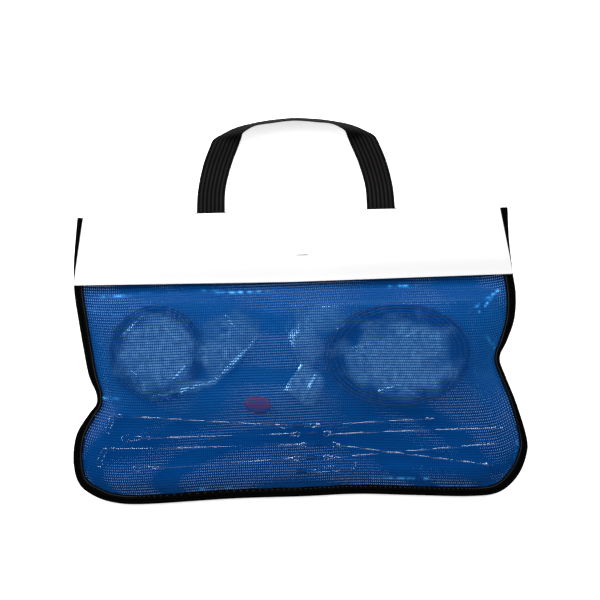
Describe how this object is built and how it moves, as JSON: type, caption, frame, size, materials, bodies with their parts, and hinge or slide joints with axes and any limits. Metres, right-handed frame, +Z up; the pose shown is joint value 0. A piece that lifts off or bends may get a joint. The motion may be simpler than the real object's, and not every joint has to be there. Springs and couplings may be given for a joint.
{
  "type": "wire boom rig set in a mesh bag",
  "caption": "Flat mesh carry bag with taped edges, a folded header card and a webbing handle, packed with wire booms, barrel swivels, snaps and coiled lines in clear bags.",
  "frame": {"origin": "on the floor under the middle of the bag, on the flat underside of the lower mesh panel", "axes": "+X to the right along the header card, +Y towards the mouth and the handle, +Z up from the bag's flat back to its face"},
  "size_m": [0.4089, 0.3431, 0.0264],
  "materials": {
    "blue_coated_mesh": "glossy coated mesh",
    "black_tape": "ribbed woven tape",
    "white_card": "smooth coated card",
    "clear_film": "clear thin film",
    "grey_line": "smooth nylon line",
    "dark_cord": "braided cord",
    "bright_steel": "bright drawn wire",
    "blackened_brass": "blackened",
    "red_float": "moulded foam"
  },
  "bodies": {
    "bag": {"lower_mesh_panel": "blue_coated_mesh", "upper_mesh_panel": "blue_coated_mesh", "edge_binding": "black_tape", "lower_mouth_tape": "black_tape", "upper_mouth_tape": "black_tape", "header_card": "white_card", "card_staple": "bright_steel", "handle_tab_left": "black_tape", "handle_tab_right": "black_tape", "left_polybag": "clear_film", "right_polybag": "clear_film", "left_line_coil": "grey_line", "right_cord_coil": "dark_cord", "right_cord_tail": "dark_cord", "red_float": "red_float", "boom_1_left": "bright_steel", "boom_1_right": "bright_steel", "boom_2_left": "bright_steel", "boom_2_right": "bright_steel", "boom_3_left": "bright_steel", "boom_3_right": "bright_steel", "boom_4_left": "bright_steel", "boom_4_right": "bright_steel", "swivel_1_eye_left": "blackened_brass", "swivel_1_eye_right": "blackened_brass", "swivel_2_eye_left": "blackened_brass", "swivel_2_eye_right": "blackened_brass", "swivel_3_eye_left": "blackened_brass", "swivel_3_eye_right": "blackened_brass", "swivel_4_eye_left": "blackened_brass", "swivel_4_eye_right": "blackened_brass", "swivel_5_eye_left": "blackened_brass", "swivel_5_eye_right": "blackened_brass"},
    "handle": {"handle_strap": "black_tape"},
    "swivel_1_barrel_turn": {"swivel_1_barrel": "blackened_brass"},
    "swivel_2_barrel_turn": {"swivel_2_barrel": "blackened_brass"},
    "swivel_3_barrel_turn": {"swivel_3_barrel": "blackened_brass"},
    "swivel_4_barrel_turn": {"swivel_4_barrel": "blackened_brass"},
    "swivel_5_barrel_turn": {"swivel_5_barrel": "blackened_brass"},
    "snap_1_body": {"snap_1": "bright_steel"},
    "snap_2_body": {"snap_2": "bright_steel"},
    "snap_3_body": {"snap_3": "bright_steel"},
    "snap_4_body": {"snap_4": "bright_steel"},
    "long_snap_body": {"long_snap": "bright_steel"}
  },
  "joints": [
    {"name": "handle_hinge", "type": "hinge", "parent": "bag", "child": "handle", "pos_m": [-0.00045, 0.1364, 0.00715], "axis": [1, 0, 0], "range_deg": [0, 150]},
    {"name": "swivel_1_spin", "type": "hinge", "parent": "bag", "child": "swivel_1_barrel_turn", "pos_m": [-0.003, -0.0588, 0.0044], "axis": [1, 0, 0], "continuous": true},
    {"name": "swivel_2_spin", "type": "hinge", "parent": "bag", "child": "swivel_2_barrel_turn", "pos_m": [0.009, -0.0665, 0.0044], "axis": [1, 0, 0], "continuous": true},
    {"name": "swivel_3_spin", "type": "hinge", "parent": "bag", "child": "swivel_3_barrel_turn", "pos_m": [0.015, -0.0765, 0.0044], "axis": [1, 0, 0], "continuous": true},
    {"name": "swivel_4_spin", "type": "hinge", "parent": "bag", "child": "swivel_4_barrel_turn", "pos_m": [0.008, -0.0882, 0.0044], "axis": [1, 0, 0], "continuous": true},
    {"name": "swivel_5_spin", "type": "hinge", "parent": "bag", "child": "swivel_5_barrel_turn", "pos_m": [-0.001, -0.1, 0.0044], "axis": [1, 0, 0], "continuous": true},
    {"name": "snap_1_swing", "type": "hinge", "parent": "bag", "child": "snap_1_body", "pos_m": [-0.16929, -0.04552, 0.0044], "axis": [0, 0, 1], "range_deg": [-20, 20]},
    {"name": "snap_2_swing", "type": "hinge", "parent": "bag", "child": "snap_2_body", "pos_m": [-0.1453, -0.0667, 0.0044], "axis": [0, 0, 1], "range_deg": [-20, 20]},
    {"name": "snap_3_swing", "type": "hinge", "parent": "bag", "child": "snap_3_body", "pos_m": [-0.1773, -0.07589, 0.0044], "axis": [0, 0, 1], "range_deg": [-20, 35]},
    {"name": "snap_4_swing", "type": "hinge", "parent": "bag", "child": "snap_4_body", "pos_m": [-0.1353, -0.09409, 0.0044], "axis": [0, 0, 1], "range_deg": [-25, 35]},
    {"name": "long_snap_swing", "type": "hinge", "parent": "bag", "child": "long_snap_body", "pos_m": [0.0118, -0.1, 0.0044], "axis": [0, 0, 1], "range_deg": [-12, 5]}
  ]
}
